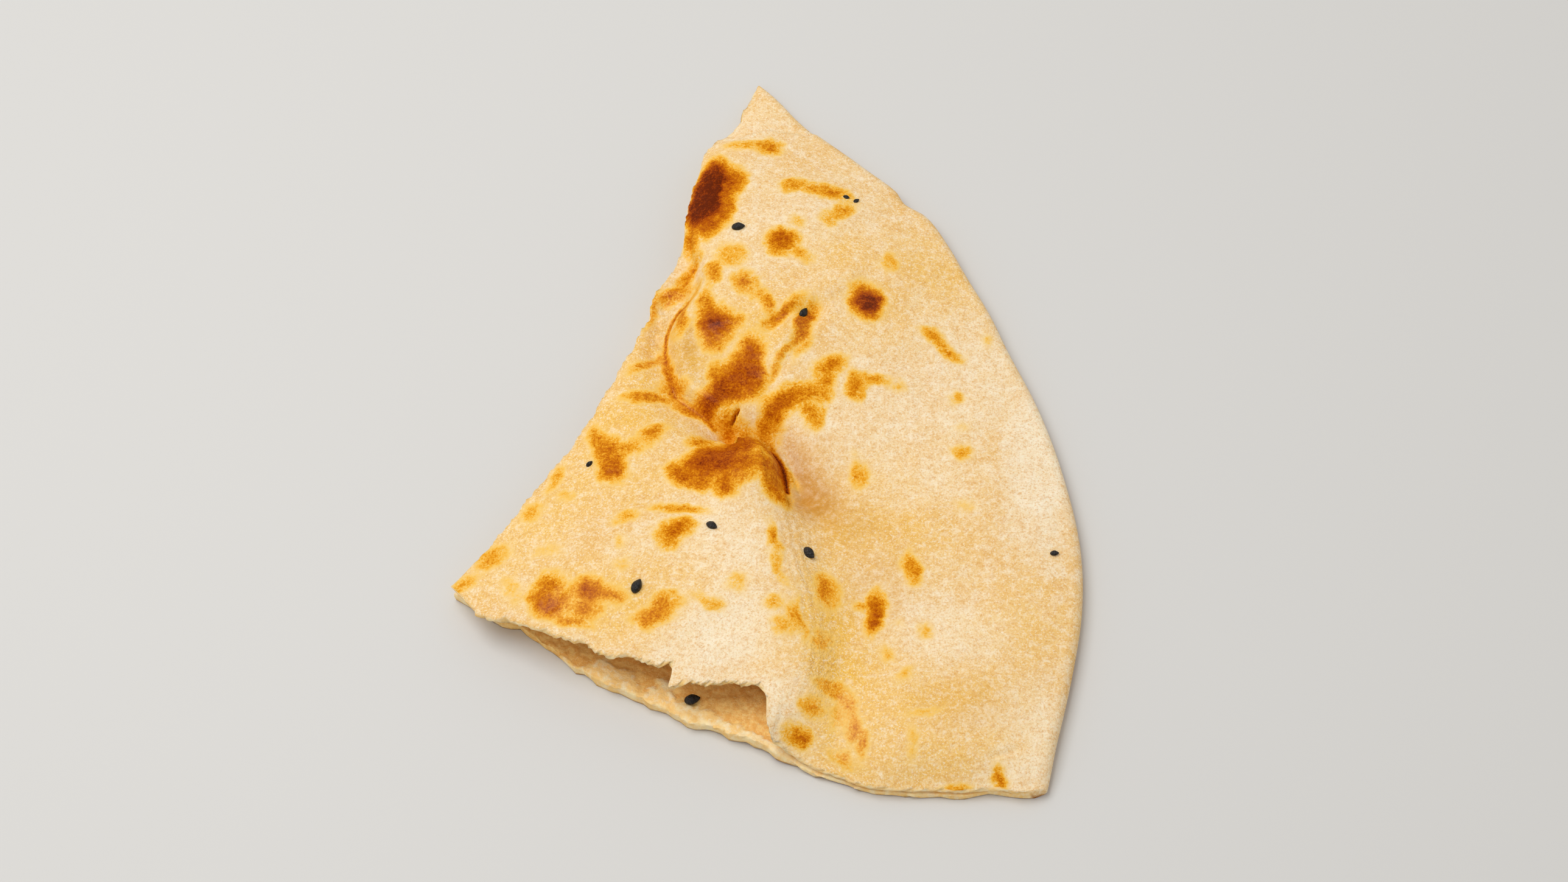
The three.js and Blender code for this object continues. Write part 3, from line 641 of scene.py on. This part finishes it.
def addSheet(bm, name, place, inner, top, facesUp):
    # one surface over the quarter; returns the edges of its three sides
    cells, middle, front = naanMesh[name]
    verts = bmesh.ops.create_grid(bm, x_segments=cells, y_segments=cells, size=0.5)["verts"]
    layers = bm.verts.layers.float
    for v in verts:
        a, b = v.co.x + 0.5, max(v.co.y + 0.5, 0)
        v[layers["a"]] = a + middle * math.sin(2 * math.pi * a) / (2 * math.pi)
        v[layers["b"]] = b ** front
        v[layers["inner"]], v[layers["top"]] = inner, top
    put(bm, verts, place)
    sides = {"front": [], "left": [], "rim": []}
    for e in {e for v in verts for e in v.link_edges if e.is_boundary}:
        a, b = [max(v[layers[name]] for v in e.verts) for name in ("a", "b")]
        sides["front" if b < 1e-6 else "left" if a < 1e-6 else "rim"].append(e)
    if not facesUp:
        bmesh.ops.reverse_faces(bm, faces=list({f for v in verts for f in v.link_faces}))
    return sides


def drawOut(bm, edges, place, share, **values):
    # draws a row of edges out to its next place
    made = bmesh.ops.extrude_edge_only(bm, edges=edges)["geom"]
    verts = [g for g in made if isinstance(g, bmesh.types.BMVert)]
    put(bm, verts, place, share)
    for name, value in values.items():
        for v in verts:
            v[bm.verts.layers.float[name]] = value
    return [g for g in made if isinstance(g, bmesh.types.BMEdge)]


def fill(bm, verts, fields):
    # writes values that depend on the place in plan
    x, y = np.array([v.co[:2] for v in verts]).T / mm
    for name, values in fields(x, y).items():
        for v, value in zip(verts, values):
            v[bm.verts.layers.float[name]] = value


def skinFields(x, y):
    shades = {name: patches(ovalsOf(rows), soft, x, y) for name, (soft, rows) in tone.items()}
    return {"browned": brownedAndCreaseShadeAt(x, y), **shades}


def insideFields(x, y):
    before, near = crumbAt(x, y)
    return {"amber": (1 - before) * near}


def addPiece(bm, name):
    mesh = bpy.data.meshes.new(name)
    bm.to_mesh(mesh)
    bm.free()
    mesh.shade_smooth()
    piece = bpy.data.objects.new(name, mesh)
    bpy.context.scene.collection.objects.link(piece)
    return piece


def makeNaan():
    bm = bmesh.new()
    for name in ("a", "b", "inner", "top", "browned", "amber", *tone):
        bm.verts.layers.float.new(name)
    crown = addSheet(bm, "crown", crownPlace, 0, 1, True)
    ceiling = addSheet(bm, "ceiling", ceilingPlace, 1, 0, False)
    floor = addSheet(bm, "floor", floorPlace, 1, 0, True)
    under = addSheet(bm, "under", underPlace, 0, 0, False)
    row = crown["rim"]
    for k in range(1, naanMesh["rimSteps"]):
        share = k / naanMesh["rimSteps"]
        row = drawOut(bm, row, rimPlace, share, top=1 - share)
    bmesh.ops.bridge_loops(bm, edges=row + under["rim"])
    for side, sideways in naanMesh["outward"].items():
        for outer, inner, start, end in ((crownPlace, ceilingPlace, crown, ceiling),
                                         (underPlace, floorPlace, under, floor)):
            row, face = start[side], tornFace(outer, inner, sideways)
            for k in range(1, naanMesh["wallSteps"]):
                row = drawOut(bm, row, face, k / naanMesh["wallSteps"], inner=1, top=0)
            bmesh.ops.bridge_loops(bm, edges=row + end[side])
    bmesh.ops.remove_doubles(bm, verts=bm.verts, dist=1e-6)
    bmesh.ops.holes_fill(bm, edges=[e for e in bm.edges if e.is_boundary], sides=0)
    bmesh.ops.triangulate(bm, faces=[f for f in bm.faces if len(f.verts) > 4])
    bmesh.ops.recalc_face_normals(bm, faces=bm.faces)
    layers = bm.verts.layers.float
    fill(bm, [v for v in bm.verts if v[layers["top"]] > naanMesh["skinFrom"]], skinFields)
    low = naanMesh["crumb"]["below"] * mm
    fill(bm, [v for v in bm.verts if v[layers["inner"]] > 0.5 and v.co.z < low], insideFields)
    print("  open edges:", sum(1 for e in bm.edges if not e.is_manifold),
          "triangles:", sum(len(f.verts) - 2 for f in bm.faces))
    return addPiece(bm, "naanLoaf")


print("dough finish")


def colour(r, g, b):
    # a colour as it is read off a screen, 0 to 255
    return tuple(c / 255 / 12.92 if c <= 10 else ((c / 255 + 0.055) / 1.055) ** 2.4
                 for c in (r, g, b)) + (1,)


class Wire:
    # one socket: sums on it add Math nodes
    def __init__(self, finish, socket):
        self.finish, self.socket = finish, socket

    def maths(self, operation, one, other):
        return self.finish.node("Math", {"operation": operation}, {0: one, 1: other})

    def __add__(self, other):
        return self.maths("ADD", self, other)

    def __sub__(self, other):
        return self.maths("SUBTRACT", self, other)

    def __rsub__(self, other):
        return self.maths("SUBTRACT", other, self)

    def __mul__(self, other):
        return self.maths("MULTIPLY", self, other)

    __radd__, __rmul__ = __add__, __mul__


class Finish:
    # a material and the nodes that make it
    def __init__(self, name, fixed):
        self.material = bpy.data.materials.new(name)
        self.material.use_nodes = True
        self.shader = self.material.node_tree.nodes["Principled BSDF"]
        for socket, value in fixed.items():
            self.shader.inputs[socket].default_value = value

    def node(self, kind, settings, inputs, output=0):
        made = self.material.node_tree.nodes.new("ShaderNode" + kind)
        for key, value in settings.items():
            if key == "stops":
                self.setStops(made.color_ramp, value)
            else:
                setattr(made, key, value)
        for key, value in inputs.items():
            self.feed(made.inputs[key], value)
        return Wire(self, made.outputs[output])

    def feed(self, socket, value):
        if isinstance(value, Wire):
            self.material.node_tree.links.new(value.socket, socket)
        else:
            socket.default_value = value

    def setStops(self, ramp, stops):
        while len(ramp.elements) < len(stops):
            ramp.elements.new(1)
        for element, (place, tint) in zip(ramp.elements, stops):
            element.position, element.color = place, tint

    def place(self):
        # where a point is on the piece, in millimetres
        place = self.node("TexCoord", {}, {}, "Object")
        return self.node("VectorMath", {"operation": "SCALE"}, {0: place, "Scale": 1 / mm})

    def field(self, name):
        return self.node("Attribute", {"attribute_name": name}, {}, "Fac")

    def grain(self, where, size, detail, roughness):
        # noise with lumps of about this size in millimetres
        return self.node("TexNoise", {}, {"Vector": where, "Scale": 1 / size, "Detail": detail,
                                          "Roughness": roughness})

    def between(self, value, low, high, most=1.0):
        # 0 up to low, rising smoothly to its most at high
        limits = {"Value": value, "From Min": low, "From Max": high, "To Min": 0.0, "To Max": most}
        return self.node("MapRange", {"interpolation_type": "SMOOTHSTEP"}, limits)

    def tint(self, share, one, other):
        return self.node("Mix", {"data_type": "RGBA"}, {0: share, 6: one, 7: other}, 2)

    def bump(self, height, strength, distance):
        made = self.node("Bump", {}, {"Strength": strength, "Distance": distance, "Height": height})
        self.feed(self.shader.inputs["Normal"], made)


dough = {
    "cream": colour(244, 209, 151), "pale": colour(251, 232, 199), "warm": colour(240, 197, 128),
    "freckle": colour(221, 162, 84), "butter": colour(246, 194, 80), "flour": colour(254, 239, 210),
    # tan, also the colour of the painted shade beside the tuck
    "tan": colour(200, 138, 44),
    "crumb": colour(255, 230, 176), "crumbDark": colour(253, 208, 132),
    "crumbPale": colour(255, 240, 206),
    "amber": colour(255, 210, 130), "amberDark": colour(240, 180, 96),
    "under": colour(232, 188, 124), "underBrown": colour(188, 118, 50),
    # browning: heat and colour
    "ramp": [(0.06, colour(249, 216, 148)), (0.18, colour(248, 200, 98)),
             (0.32, colour(240, 168, 38)), (0.45, colour(225, 137, 8)),
             (0.58, colour(205, 110, 2)), (0.72, colour(180, 82, 0)),
             (0.86, colour(140, 52, 0)), (1, colour(102, 34, 0))],
    # size in millimetres, detail, roughness
    "grains": {"broad": (11, 3, 0.5), "patchy": (5, 3, 0.5), "mid": (3.4, 4, 0.6),
               "small": (1.5, 3, 0.6), "dust": (0.8, 3, 0.65), "fine": (0.45, 3, 0.75),
               "glint": (0.7, 2, 0.5)},
    # mottles: grain, where it starts and is whole, strength, colour
    "skinMottle": [("broad", 0.36, 0.64, 1, "warm"), ("mid", 0.47, 0.66, 0.6, "pale")],
    "skinSpecks": [("small", 0.5, 0.7, 0.3, "freckle"), ("small", 0.5, 0.33, 0.4, "flour"),
                   ("dust", 0.5, 0.7, 0.45, "freckle"), ("fine", 0.52, 0.66, 0.7, "flour"),
                   ("fine", 0.48, 0.34, 0.55, "freckle")],
    "crumbMottle": [("mid", 0.36, 0.6, 1, "crumbDark"), ("small", 0.46, 0.66, 0.5, "crumbPale")],
    "amberMottle": [("small", 0.36, 0.62, 1, "amberDark"), ("fine", 0.54, 0.7, 0.5, "crumb")],
    "underMottle": [("broad", 0.45, 0.6, 1, "underBrown")],
    # washes over a field: least strength, the grain added to it, colour; the tan wash also lays the
    # painted shade by the tuck
    "flouring": (0.4, "mid", "flour"), "soaking": (0.5, "patchy", "butter"),
    "tanShading": (0.25, "small", "tan"),
    # heat is uneven by these shares of the grains, from the first heat on and fully at the second
    "uneven": {"mid": 0.3, "small": 0.3, "dust": 0.45, "fine": 0.75}, "unevenFrom": (0.05, 0.35),
    "brownFrom": (0.03, 0.24), "topFrom": (0, 0.5),    # where browning and the top side set in
    "glaze": {"soaked": 0.12, "shiny": 0.5}, "rough": 0.56, "smoother": 0.25, "rougher": 0.2,
    # small relief: shares of the grains, and what is added where it shines, is burnt or is inside
    "height": {"mid": 0.3, "small": 0.5, "dust": 0.32, "fine": 0.22},
    "glintHeight": 1.6, "burntHeight": (0.35, 0.8, 0.5), "insideHeight": 0.8,
    "bump": (0.6, 0.0007),    # strength, and height in metres
    "fixed": {"Specular IOR Level": 0.04, "Subsurface Weight": 0.06,
              "Subsurface Radius": (1.0, 0.6, 0.35), "Subsurface Scale": 0.002,
              "Coat Roughness": 0.14},
}


def makeDough():
    f = Finish("bakedDough", dough["fixed"])
    solid = f.place()
    grain = {name: f.grain(solid, *values) for name, values in dough["grains"].items()}
    heatAndShade, soaked, tanned, floured, shiny, amber, inner, top = [
        f.field(name)
        for name in ("browned", "soaked", "tanned", "floured", "shiny", "amber", "inner", "top")]

    def mottled(base, rows):
        for name, low, high, share, tint in dough[rows]:
            base = f.tint(f.between(grain[name], low, high, share), base, dough[tint])
        return base

    def washed(base, amount, wash):
        least, name, tint = dough[wash]
        return f.tint(amount * (least + grain[name]), base, dough[tint])

    skin = mottled(dough["cream"], "skinMottle")
    skin = washed(washed(skin, floured, "flouring"), soaked, "soaking")
    # tan and the painted shade by the tuck go on over the specks
    skin = washed(mottled(skin, "skinSpecks"), tanned, "tanShading")
    uneven = sum((grain[name] - 0.5) * share for name, share in dough["uneven"].items())
    heatAndShade = heatAndShade + f.between(heatAndShade, *dough["unevenFrom"]) * uneven
    # the ramp colours browning, and the painted shade in the creases, by heat
    burntAndShade = f.node("ValToRGB", {"stops": dough["ramp"]}, {"Fac": heatAndShade})
    skin = f.tint(f.between(heatAndShade, *dough["brownFrom"]) * top, skin, burntAndShade)
    below = mottled(dough["under"], "underMottle")
    skin = f.tint(f.between(top, *dough["topFrom"]), below, skin)
    crumb, deep = mottled(dough["crumb"], "crumbMottle"), mottled(dough["amber"], "amberMottle")
    f.feed(f.shader.inputs["Base Color"], f.tint(inner, skin, f.tint(amber, crumb, deep)))
    glaze = soaked * dough["glaze"]["soaked"] + shiny * dough["glaze"]["shiny"]
    f.feed(f.shader.inputs["Coat Weight"], glaze)
    rough = dough["rough"] - glaze * dough["smoother"] + inner * dough["rougher"]
    f.feed(f.shader.inputs["Roughness"], rough)
    height = sum(grain[name] * share for name, share in dough["height"].items())
    height += shiny * grain["glint"] * dough["glintHeight"]
    height += f.between(heatAndShade, *dough["burntHeight"]) * grain["fine"]
    height += inner * grain["mid"] * dough["insideHeight"]
    f.bump(height, *dough["bump"])
    return f.material


naanPiece = makeNaan()
naanPiece.data.materials.append(makeDough())
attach(naanPiece, "root")
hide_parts("naan")

print("nigella seeds")

seeds = {
    # middle, direction in degrees, length; the last one lies on the lower layer
    "onTop": [
        (-26.3, -54.9, 70, 3.6), (10.2, -43.4, -50, 3.6), (-11.1, -39.5, -30, 2.8),
        (4.8, 20.9, 60, 2.8), (-12.1, 45.5, 5, 3.2), (12.2, 57.7, -20, 1.7),
        (14.6, 56.8, 30, 1.6), (-40.9, -20.4, 45, 1.8), (63.6, -40.3, 0, 2),
    ],
    "inPocket": (-13.6, -76.8, 10, 3.6),
    "wide": 0.62, "tall": 0.5, "lift": 0.1, "lowLift": 0.2,    # shares of the length
    "dip": -6,                                                 # tilt in degrees
    # shares of the thickness, and how many wrinkles there are along and across
    "point": 0.5, "pointed": 1.5, "edges": 3, "edgeDepth": 0.1,
    "wrinkle": 0.07, "wrinkles": (7, 11, 11),
    "black": colour(14, 11, 10), "grey": colour(50, 44, 40), "greyFrom": (0.4, 0.75),
    "fixed": {"Roughness": 0.3, "Specular IOR Level": 0.3},
    "lumps": (0.5, 3, 0.6), "cells": 4, "bump": (0.6, 0.0002),
}


def addSeed(bm, x, y, z, degrees, length, number):
    # a drop with three blunt edges, pointed at one end
    verts = bmesh.ops.create_icosphere(bm, subdivisions=4, radius=0.5)["verts"]
    for v in verts:
        p = v.co
        angle = math.atan2(p.z, p.y)
        narrow = 1 - seeds["point"] * max(p.x * 2, 0) ** seeds["pointed"]
        edge = 1 + seeds["edgeDepth"] * math.cos(seeds["edges"] * (angle + number))
        folds = Vector([c * k for c, k in zip(p, seeds["wrinkles"])]) + Vector((number, 0, 0))
        girth = narrow * (edge + seeds["wrinkle"] * noise.noise(folds))
        v.co = (p.x, p.y * girth * seeds["wide"], p.z * girth * seeds["tall"])
    turn = Matrix.Rotation(math.radians(degrees), 4, "Z")
    turn = turn @ Matrix.Rotation(math.radians(seeds["dip"]), 4, "Y")
    matrix = Matrix.Translation((x, y, z)) @ turn @ Matrix.Scale(length, 4)
    bmesh.ops.transform(bm, matrix=matrix, verts=verts)


def makeSeeds():
    bm = bmesh.new()
    for number, (x, y, degrees, length) in enumerate(seeds["onTop"]):
        addSeed(bm, x, y, float(crownAt(x, y)) + seeds["lift"] * length, degrees, length, number)
    x, y, degrees, length = seeds["inPocket"]
    z = float(underAt(x, y)) + relief["base"]["thick"] + seeds["lowLift"] * length
    addSeed(bm, x, y, z, degrees, length, 20)
    bmesh.ops.scale(bm, vec=(mm, mm, mm), verts=bm.verts)
    return addPiece(bm, "nigellaSeeds")


def makeSeedFinish():
    f = Finish("nigellaSeed", seeds["fixed"])
    solid = f.place()
    lumps = f.grain(solid, *seeds["lumps"])
    f.feed(f.shader.inputs["Base Color"],
           f.tint(f.between(lumps, *seeds["greyFrom"]), seeds["black"], seeds["grey"]))
    cells = f.node("TexVoronoi", {}, {"Vector": solid, "Scale": seeds["cells"]}, "Distance")
    f.bump(lumps + cells, *seeds["bump"])
    return f.material


seedPiece = makeSeeds()
seedPiece.data.materials.append(makeSeedFinish())
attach(seedPiece, "root")
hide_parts("naan")

print("light, floor and camera")

studio = {
    "lookAt": (2, -11, 6), "lens": 78, "farthest": 20,
    "floor": 3000, "floorColour": (0.66, 0.65, 0.63, 1), "floorRoughness": 0.6,
    "sky": (1, 0.985, 0.96, 1), "skyStrength": 0.6,
    "keyAt": (-300, 120, 850), "keySize": 700, "keyPower": 4.6,
}


def addFloor():
    bm = bmesh.new()
    bmesh.ops.create_grid(bm, x_segments=2, y_segments=2, size=studio["floor"] / 2 * mm)
    floor = addPiece(bm, "floor")
    material = bpy.data.materials.new("paleFloor")
    material.use_nodes = True
    shader = material.node_tree.nodes["Principled BSDF"]
    shader.inputs["Base Color"].default_value = studio["floorColour"]
    shader.inputs["Roughness"].default_value = studio["floorRoughness"]
    floor.data.materials.append(material)


def addCamera():
    data = bpy.data.cameras.new("camera")
    data.lens, data.clip_end = studio["lens"], studio["farthest"]
    camera = bpy.data.objects.new("camera", data)
    bpy.context.scene.collection.objects.link(camera)
    place = Vector(photo["camera"]) * mm
    aim = (Vector(studio["lookAt"]) * mm - place).normalized()
    # the photograph's camera looks straight along Y and down; the aim swings from there
    level = photoLevel.to_quaternion()
    swing = (level @ Vector((0, 0, -1))).rotation_difference(aim)
    camera.matrix_world = Matrix.Translation(place) @ (swing @ level).to_matrix().to_4x4()
    bpy.context.scene.camera = camera


def addLights():
    world = bpy.data.worlds.new("studio")
    bpy.context.scene.world = world
    world.use_nodes = True
    sky = world.node_tree.nodes["Background"].inputs
    sky["Color"].default_value, sky["Strength"].default_value = studio["sky"], studio["skyStrength"]
    data = bpy.data.lights.new("key", "AREA")
    data.energy, data.size = studio["keyPower"], studio["keySize"] * mm
    key = bpy.data.objects.new("key", data)
    key.location = Vector(studio["keyAt"]) * mm
    key.rotation_euler = (-key.location).to_track_quat("-Z", "Y").to_euler()
    bpy.context.scene.collection.objects.link(key)


addFloor()
addCamera()
addLights()
bpy.context.scene.view_settings.view_transform = "Standard"
